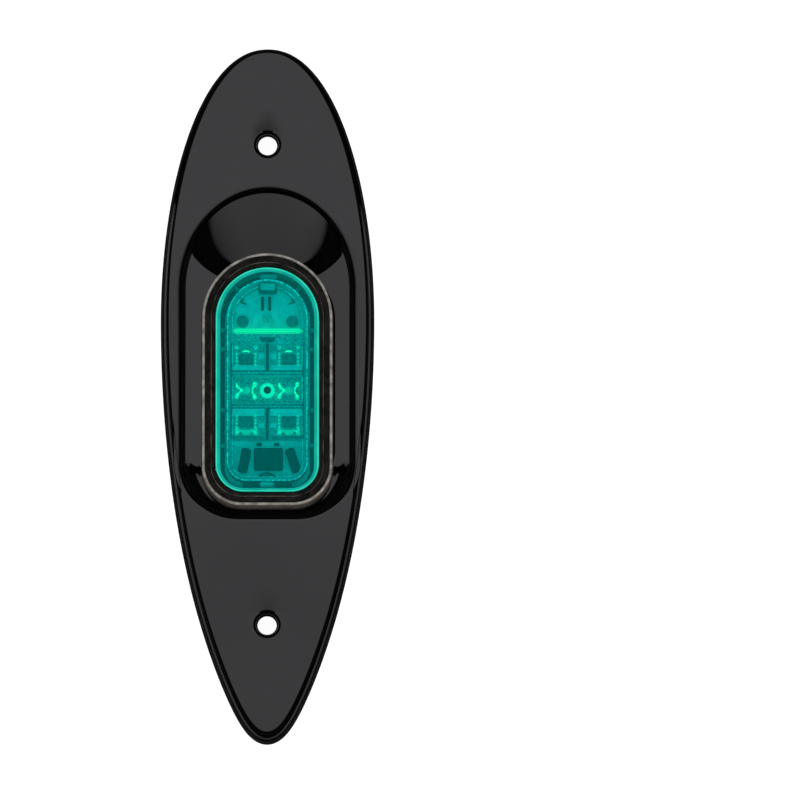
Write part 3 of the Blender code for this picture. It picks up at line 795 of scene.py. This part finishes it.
def tray_ribs():
    """Ribs across the channel, each with its mirror image: x, y and turn in degrees."""
    ribs = [(13.9, 19.9, 0), (13.9, 13.8, 0), (13.9, -6.0, 0), (13.9, -17.5, 0), (9.6, 33.2, 45),
            (9.2, -30.0, -62)]
    for i, (x, y, turn) in enumerate(ribs):
        for side in (-1, 1):
            centre = (side * x, y, (PART_Z + RIB_TOP) / 2)
            bm = block_bm((1.9, 1.1, RIB_TOP - PART_Z), centre, side * turn, 0.15)
            part_of_tray(finish_piece(f"tray_rib_{2 * i + (side > 0)}", bm, [TRAY_PLASTIC]))


def tray_tabs():
    """Tab inside the blunt end, and a bridge over the channel at each end; the tab and the tail bridge are
    painted lighter as painted light, and a dark block under the tab is a painted shadow.
    """
    top = TRAY_TOP
    for name, size, centre, mat in (
            ("front_tab", (4.8, 2.2, 4.6), (0.1, 33.9, top - 2.3), TAB_LIT_PLASTIC),
            ("front_tab_shadow", (6.0, 3.2, 3.6), (0.1, 33.5, top - 2.8), TRAY_SHADE),
            ("front_bridge", (5.4, 1.6, 4.0), (0.35, 37.2, top - 2.3), TRAY_PLASTIC),
            ("tail_bridge", (4.4, 1.7, 4.4), (-0.15, -30.2, top - 2.4), TAB_LIT_PLASTIC)):
        part_of_tray(finish_piece(name, block_bm(size, centre, 0, 0.35, 4), [mat]))


def channel_shade_sheets():
    """Dark sheets of painted shade on the channel's floor, on both sides of the tail bridge."""
    for name, side in (("channel_shade_left", -1), ("channel_shade_right", 1)):
        bm = block_bm((5.6, 2.3, 0.5), (side * 5.1, -30.4, PART_Z + 0.25), 0, 0.1)
        part_of_tray(finish_piece(name, bm, [CHANNEL_SHADE]))


def tail_arches():
    """Two arched walls, one inside the other, at the tail; the outer one is darkened with painted shade."""
    for name, radius, mat in (("tail_arch", 3.6, TRAY_SHADE), ("tail_arch_line", 3.05, TRAY_PLASTIC)):
        bm = bmesh.new()
        strip(bm, arc((-0.15, -29.8), (radius, radius), 35, 145, 14), 0.5, PART_Z, 8.0)
        part_of_tray(finish_piece(name, bm, [mat]))


def part_of_tray(piece):
    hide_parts("reflector_tray")


def grid_height(x, y):
    """Top of the reflector grid and the material slot of that spot.

    Slots: 0 plain, 1 painted light on the slopes and bright patches, 2 painted shade.
    """
    t = abs(y - GRID_MIDDLE)
    side = abs(x)
    if y > GRID_HEAD_Y:
        # A half-round dimple with its flat side towards the light bar, darkened with painted shade.
        dimple = 16.0 < y < 17.7 and hypot(side, (17.7 - y) * 1.5) < 2.5
        return (GRID_TOP - 1.2, 2) if dimple else (GRID_TOP - 0.1, 0)
    # Painted shade along both long edges.
    if side > GRID_EDGE:
        return GRID_TOP, 2
    if t < MIDDLE_CELL:
        return PART_Z + 0.4, 0
    if t < CELL_START:
        # Two lines of painted shade across, between the middle row and an outer row.
        shade_line = 4.7 < t < 5.1 or t > 5.8
        return GRID_TOP - 0.2 if side < 10.9 else GRID_TOP, 2 if shade_line else 0
    # Painted shade in the groove down the middle.
    if side < 0.42:
        return GRID_TOP - 1.6, 2
    if side < 1.0:
        return GRID_TOP - 0.4, 0
    # Painted light on the slope down into each cell.
    if t < CELL_START + CELL_SLOPE:
        fall = (t - CELL_START) / CELL_SLOPE
        return GRID_TOP - (GRID_TOP - GRID_FLOOR - 0.3) * fall, 1 if 0.05 < fall < 0.95 else 0
    if t < CELL_END:
        # Painted light: a bright patch on the floor of each cell.
        bright = side < 2.9 and t > 10.4 and t < 12.0
        return GRID_FLOOR, 1 if bright else 0
    # Painted shade on the top beyond the cell's far rise.
    rise = min((t - CELL_END) / CELL_RISE, 1.0)
    return GRID_FLOOR + (GRID_TOP - GRID_FLOOR) * rise, 0 if rise < 1 else 2


def grid_plate():
    """Height field of the reflector grid, closed down to the board."""
    columns = int(2 * GRID_HALF / GRID_STEP)
    rows = int((GRID_FRONT - GRID_BACK) / GRID_STEP)
    bm = bmesh.new()
    top, floor = {}, {}
    for j in range(rows + 1):
        for i in range(columns + 1):
            x = -GRID_HALF + 2 * GRID_HALF * i / columns
            y = GRID_BACK + (GRID_FRONT - GRID_BACK) * j / rows
            top[i, j] = bm.verts.new((x, y, grid_height(x, y)[0]))
    for j in range(rows):
        for i in range(columns):
            corners = [(i, j), (i + 1, j), (i + 1, j + 1), (i, j + 1)]
            face = bm.faces.new([top[c] for c in corners])
            spot = face.calc_center_median()
            face.material_index = grid_height(spot.x, spot.y)[1]
    rim = [(i, 0) for i in range(columns)] + [(columns, j) for j in range(rows)]
    rim += [(i, rows) for i in range(columns, 0, -1)] + [(0, j) for j in range(rows, 0, -1)]
    for spot in rim:
        floor[spot] = bm.verts.new((top[spot].co.x, top[spot].co.y, PART_Z))
    for a, b in zip(rim, rim[1:] + rim[:1]):
        bm.faces.new((top[b], top[a], floor[a], floor[b]))
    bm.faces.new([floor[spot] for spot in reversed(rim)])
    return finish_piece("grid_plate", bm, [GRID_PLASTIC, GRID_PAINTED_LIGHT, GRID_PAINTED_SHADE], sharp=40)


def make_grid():
    """The plate, and a low shelf in three lengths on its tail side."""
    pieces = [grid_plate()]
    for i, (left, right) in enumerate(((-11.2, -3.6), (-1.6, 2.0), (4.0, 11.2))):
        bm = block_bm((right - left, 1.6, 0.5), ((left + right) / 2, -16.3, PART_Z + 0.25), 0, 0.1)
        pieces.append(finish_piece(f"grid_shelf_{i}", bm, [BOARD_MASK_PAINTED_GLOW]))
    for piece in pieces:
        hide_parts("reflector_grid")


def strip(bm, points, width, low, high):
    """Flat ribbon of a given width along a few points."""
    for (x0, y0), (x1, y1) in zip(points, points[1:]):
        along = Vector((x1 - x0, y1 - y0)).normalized()
        across = Vector((-along.y, along.x)) * width / 2
        reach = along * width * 0.3
        start, end = Vector((x0, y0)) - reach, Vector((x1, y1)) + reach
        corners = [start - across, end - across, end + across, start + across]
        prism(bm, [tuple(c) for c in corners], low, high)


def prism(bm, outline, low, high):
    """Upright prism on an outline that runs counter-clockwise."""
    bottom = [bm.verts.new((x, y, low)) for x, y in outline]
    top = [bm.verts.new((x, y, high)) for x, y in outline]
    bm.faces.new(list(reversed(bottom)))
    bm.faces.new(top)
    for i in range(len(outline)):
        j = (i + 1) % len(outline)
        bm.faces.new((bottom[i], bottom[j], top[j], top[i]))


def washer(bm, centre, outer, inner, low, high, sides=20):
    """Flat ring with a round hole."""
    rings = []
    for radius, z in ((inner, low), (outer, low), (outer, high), (inner, high)):
        rings.append([bm.verts.new((x, y, z)) for x, y in circle(centre, radius, sides)])
    for a, b in zip(rings, rings[1:] + rings[:1]):
        for i in range(sides):
            j = (i + 1) % sides
            bm.faces.new((a[i], a[j], b[j], b[i]))


def part_of_led(piece, number):
    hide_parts(f"led_{number}")


def middle_leads(bm, x, y, high):
    """Two bent brackets; the left one has a foot, and the right one ends in plated holes."""
    left = [(x - 3.0, y + 2.2), (x - 2.9, y + 1.4), (x - 1.4, y), (x - 2.9, y - 1.4), (x - 3.0, y - 2.2)]
    strip(bm, left, 0.62, PART_Z, high)
    prism(bm, circle((x - 3.0, y - 2.0), 0.62, 16), PART_Z, high + 0.05)
    right = [(x + 2.7, y + 1.5), (x + 2.05, y + 0.8), (x + 2.05, y - 0.8), (x + 2.7, y - 1.5)]
    strip(bm, right, 0.42, PART_Z, high)
    for end in (-1, 1):
        washer(bm, (x + 2.75, y + end * 2.1), 0.68, 0.3, PART_Z, high)


def outer_leads(bm, x, y, away, high):
    """A row of small plated holes on each side of the package, larger ones at its corners, and arms."""
    for side in (-1, 1):
        arm = [(x + side * 1.8, y + away * 2.4), (x + side * 2.7, y + away * 3.1)]
        if away < 0:
            strip(bm, arm, 0.45, PART_Z, high)
            washer(bm, (x + side * 3.05, y - 2.3), 0.6, 0.26, PART_Z, high, 14)
        washer(bm, (x + side * 3.05, y + away * 3.5), 0.6, 0.26, PART_Z, high, 14)
        for k in range(4):
            washer(bm, (x + side * 3.0, y - away * (2.2 - 1.2 * k)), 0.36, 0.15, PART_Z, high - 0.1, 12)


def make_led(number, x, y):
    """Square package with its lead frame and a small dome.

    The outer rows sit deep between the slopes, so their packages are painted darker as painted shade, and
    their domes show only as a painted highlight, a half disc or a thin arc at the edge away from the middle.
    """
    away = 0 if abs(y - GRID_MIDDLE) < 1 else (1 if y > GRID_MIDDLE else -1)
    bm = block_bm((4.6, 3.4, LED_TOP - PART_Z), (x, y - away * 0.3, (LED_TOP + PART_Z) / 2), 0, 0.3)
    part_of_led(finish_piece(f"led_package_{number}", bm, [LED_SHADED_BODY if away else LED_CLEAR]), number)
    bm = bmesh.new()
    if away:
        outer_leads(bm, x, y, away, LEAD_TOP)
    else:
        middle_leads(bm, x, y, LEAD_TOP)
    part_of_led(finish_piece(f"led_leads_{number}", bm, [TIN_PAINTED_GLOW if away else TIN_PAINTED_LIGHT]), number)
    if away == 0:
        profile = [(1.3, PART_Z), (1.3, LED_TOP)]
        profile += [(1.3 * cos(radians(a)), LED_TOP + 0.6 * sin(radians(a))) for a in range(15, 90, 15)]
        dome = turned(f"led_dome_highlight_{number}", (x, y), profile, [LED_DOME_HIGHLIGHT], 32)
    else:
        bm = bmesh.new()
        if away < 0:
            prism(bm, arc((x, y - 2.3), (1.75, 1.75), 180, 360, 20), PART_Z, LEAD_TOP)
        else:
            strip(bm, arc((x, y + 0.1), (2.2, 2.2), 62, 118, 8), 0.3, PART_Z, LEAD_TOP)
        dome = finish_piece(f"led_dome_highlight_{number}", bm, [LED_DOME_HIGHLIGHT if away < 0 else TIN_PAINTED_LIGHT])
    part_of_led(dome, number)


def make_leds():
    number = 0
    for y in LED_YS:
        for x in LED_XS:
            number += 1
            make_led(number, x, y)


def make_light_bar():
    low, high = box_mm("light_bar")
    centre = (low + high) / 2
    bm = block_bm((21.8, 1.2, high.z - low.z), centre, 0, 0.4, 4)
    # The bar glows with painted light.
    bar = finish_piece("bar_with_painted_glow", bm, [BAR_PAINTED_GLOW])
    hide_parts("light_bar")


def make_rivet():
    """Tinned ring round the middle hole of the board, with a dished face; its tin glows as painted light, and
    a dark plug in the hole is painted shade.
    """
    low, high = box_mm("board_rivet")
    centre = ((low.x + high.x) / 2, (low.y + high.y) / 2)
    base, top = PART_Z, high.z - 0.6
    profile = [(1.25, base), (2.35, base), (2.35, top - 0.5), (2.25, top - 0.15), (2.0, top),
               (1.75, top), (1.6, top - 0.12), (1.45, top - 0.05), (1.3, top - 0.2), (1.2, top - 0.6)]
    ring = turned("tinned_ring", centre, profile, [TIN_PAINTED_LIGHT], 56, closed=True)
    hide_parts("board_rivet")
    # Painted shade: a dark plug fills the ring's hole for the shade inside it.
    plug = turned("ring_hole_shade", centre, [(1.17, base - 0.2), (1.17, top - 0.5)], [DARK_PACKAGE], 40)
    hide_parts("board_rivet")


def make_screw():
    """Pan head with a three-way recess."""
    low, high = box_mm("board_screw")
    centre = ((low.x + high.x) / 2, (low.y + high.y) / 2)
    profile = [(0.9, PART_Z), (1.62, PART_Z), (1.62, high.z - 0.6), (1.5, high.z - 0.25),
               (1.15, high.z - 0.05), (0.6, high.z)]
    head = turned("screw_head", centre, profile, [STEEL], 48)
    cutter_bm = bmesh.new()
    for turn in (30, 150, 270):
        end = (centre[0] + 1.25 * cos(radians(turn)), centre[1] + 1.25 * sin(radians(turn)))
        strip(cutter_bm, [centre, end], 0.42, high.z - 0.45, high.z + 0.5)
    cutter = finish_piece("slot_cutter", cutter_bm, [STEEL], ride=False)
    mod = head.modifiers.new("slots", "BOOLEAN")
    mod.operation = "DIFFERENCE"
    mod.solver = "EXACT"
    mod.use_self = True
    mod.object = cutter
    applied(head)
    bpy.data.objects.remove(cutter)
    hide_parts("board_screw")


def make_jumpers():
    """Narrow bar and, outboard of it, a thin bent wire."""
    for name, side in (("jumper_left", -1), ("jumper_right", 1)):
        low, high = box_mm(name)
        bm = block_bm(high - low, (low + high) / 2, 0, 0.15)
        wire = [(9.3, 31.0), (7.7, 30.5), (8.6, 29.7), (6.9, 29.0)]
        strip(bm, [(side * x, y) for x, y in wire], 0.35, PART_Z, PART_Z + 0.4)
        piece = finish_piece(name + "_wired", bm, [DARK_PACKAGE])
        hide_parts(name)


def make_capacitors():
    """Sleeved cans with rounded ends, lying on the board."""
    for name, turn in (("capacitor_left", -10), ("capacitor_right", 18)):
        low, high = box_mm(name)
        radius = (high.z - low.z) / 2
        bm = bmesh.new()
        bmesh.ops.create_cone(bm, cap_ends=True, segments=40, radius1=radius, radius2=radius, depth=8.0)
        ends = [edge for edge in bm.edges if abs(edge.verts[0].co.z - edge.verts[1].co.z) < 0.01]
        bmesh.ops.bevel(bm, geom=ends, offset=0.8, segments=5, affect="EDGES", profile=0.5)
        lay = Matrix.Rotation(radians(turn), 4, "Z") @ Matrix.Rotation(radians(90), 4, "X")
        bmesh.ops.transform(bm, matrix=lay, verts=bm.verts)
        bmesh.ops.translate(bm, vec=(low + high) / 2, verts=bm.verts)
        can = finish_piece(name + "_sleeved", bm, [DARK_PACKAGE])
        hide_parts(name)


# ---------------------------------------------------------------- carried-over CAD nodes

CARRIED = {
    "lens_seal": SEAL_RUBBER, "lamp_housing": SATIN_BLACK, "cable_gland": SEAL_RUBBER,
    "potting_block": RESIN, "circuit_board": BOARD_MASK_PAINTED_GLOW, "driver_chip": DARK_PACKAGE,
    "resistor_left": DARK_PACKAGE, "resistor_right": DARK_PACKAGE,
    "locating_pin_left": PIN_PLASTIC, "locating_pin_right": PIN_PLASTIC,
}


def finish_carried_nodes():
    """Give the CAD nodes that stay in view materials of their own."""
    for name, mat in CARRIED.items():
        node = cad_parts[name]
        node.data.materials.clear()
        node.data.materials.append(mat)


# ---------------------------------------------------------------- stage


def make_stage():
    floor_bm = bmesh.new()
    bmesh.ops.create_grid(floor_bm, x_segments=1, y_segments=1, size=1.5)
    mesh = bpy.data.meshes.new("floor")
    floor_bm.to_mesh(mesh)
    floor_bm.free()
    floor = bpy.data.objects.new("floor", mesh)
    bpy.context.scene.collection.objects.link(floor)
    # A hair below the rim pad, so that the two faces don't share a plane.
    floor.location.z = -0.1 * MM
    mat, nodes, _ = new_material("pale_floor")
    shader = nodes["Principled BSDF"]
    shader.inputs["Base Color"].default_value = (0.35, 0.35, 0.35, 1)
    shader.inputs["Roughness"].default_value = 0.9
    shader.inputs["Emission Color"].default_value = (1, 1, 1, 1)
    shader.inputs["Emission Strength"].default_value = 0.95
    mesh.materials.append(mat)
    floor.visible_glossy = False


def make_world():
    """White to the camera, soft light for diffuse surfaces and nearly dark in gloss."""
    world = bpy.data.worlds.new("studio")
    bpy.context.scene.world = world
    world.use_nodes = True
    nodes, links = world.node_tree.nodes, world.node_tree.links
    back = nodes["Background"]
    back.inputs["Color"].default_value = (1, 1, 1, 1)
    path = nodes.new("ShaderNodeLightPath")
    gloss = nodes.new("ShaderNodeMapRange")
    gloss.inputs["To Min"].default_value = 0.95
    gloss.inputs["To Max"].default_value = 0.01
    links.new(path.outputs["Is Glossy Ray"], gloss.inputs["Value"])
    links.new(gloss.outputs["Result"], back.inputs["Strength"])


def make_softbox():
    """One panel overhead that fades to both sides and to the tail and ends soon after the blunt end."""
    bm = bmesh.new()
    bmesh.ops.create_grid(bm, x_segments=1, y_segments=1, size=1.0)
    bmesh.ops.scale(bm, vec=(1.1, 0.95, 1.0), verts=bm.verts)
    mesh = bpy.data.meshes.new("softbox")
    bm.to_mesh(mesh)
    bm.free()
    panel = bpy.data.objects.new("softbox", mesh)
    bpy.context.scene.collection.objects.link(panel)
    panel.location = (-0.1, 0.42, 2.33)
    panel.visible_camera = False
    mesh.materials.append(softbox_material())


def softbox_material():
    """White glow that fades along the panel; its places are in metres from the panel's middle."""
    mat, nodes, links = new_material("softbox")
    coords = nodes.new("ShaderNodeTexCoord")
    split = nodes.new("ShaderNodeSeparateXYZ")
    links.new(coords.outputs["Object"], split.inputs["Vector"])
    aside = nodes.new("ShaderNodeMath")
    aside.operation = "ABSOLUTE"
    links.new(split.outputs["X"], aside.inputs[0])
    across = faded(nodes, links, aside.outputs[0], 1.06, 0.2)
    along = faded(nodes, links, split.outputs["Y"], -0.90, 0.08)
    ahead = faded(nodes, links, split.outputs["Y"], 0.30, 0.24)
    power = multiplied(nodes, links, multiplied(nodes, links, across, along), ahead)
    glow = nodes.new("ShaderNodeEmission")
    glow.inputs["Color"].default_value = (1.17, 1.17, 1.22, 1)
    links.new(power, glow.inputs["Strength"])
    links.new(glow.outputs["Emission"], nodes["Material Output"].inputs["Surface"])
    return mat


def multiplied(nodes, links, first, second):
    product = nodes.new("ShaderNodeMath")
    product.operation = "MULTIPLY"
    links.new(first, product.inputs[0])
    links.new(second, product.inputs[1])
    return product.outputs[0]


def faded(nodes, links, value, dark, bright):
    """Smooth fade from 0 at dark to 1 at bright."""
    fade = nodes.new("ShaderNodeMapRange")
    fade.interpolation_type = "SMOOTHSTEP"
    if dark < bright:
        fade.inputs["From Min"].default_value = dark
        fade.inputs["From Max"].default_value = bright
    else:
        fade.inputs["From Min"].default_value = bright
        fade.inputs["From Max"].default_value = dark
        fade.inputs["To Min"].default_value = 1.0
        fade.inputs["To Max"].default_value = 0.0
    links.new(value, fade.inputs["Value"])
    return fade.outputs["Result"]


def make_camera():
    """Long lens, 10 degrees off square from the tail side, framed with room on the right."""
    data = bpy.data.cameras.new("camera")
    camera = bpy.data.objects.new("camera", data)
    bpy.context.scene.collection.objects.link(camera)
    bpy.context.scene.camera = camera
    frame_width = 0.256
    distance = 7.0
    data.sensor_width = 36.0
    data.lens = data.sensor_width * distance / frame_width
    tilt = radians(10)
    aim = Vector((0.0424, -0.0011, 0.0))
    back = Vector((0, -sin(tilt), cos(tilt)))
    camera.location = aim + back * distance
    camera.rotation_mode = "QUATERNION"
    camera.rotation_quaternion = (-back).to_track_quat("-Z", "Y")
    data.clip_start, data.clip_end = 0.05, 20.0


bpy.context.scene.view_settings.view_transform = "Standard"
make_camera()
make_stage()
make_world()
make_softbox()
make_shell()
make_mounting_pad()
make_lamp_surround()
make_lens()
make_tray()
make_grid()
make_leds()
make_light_bar()
make_rivet()
make_screw()
make_jumpers()
make_capacitors()
finish_carried_nodes()
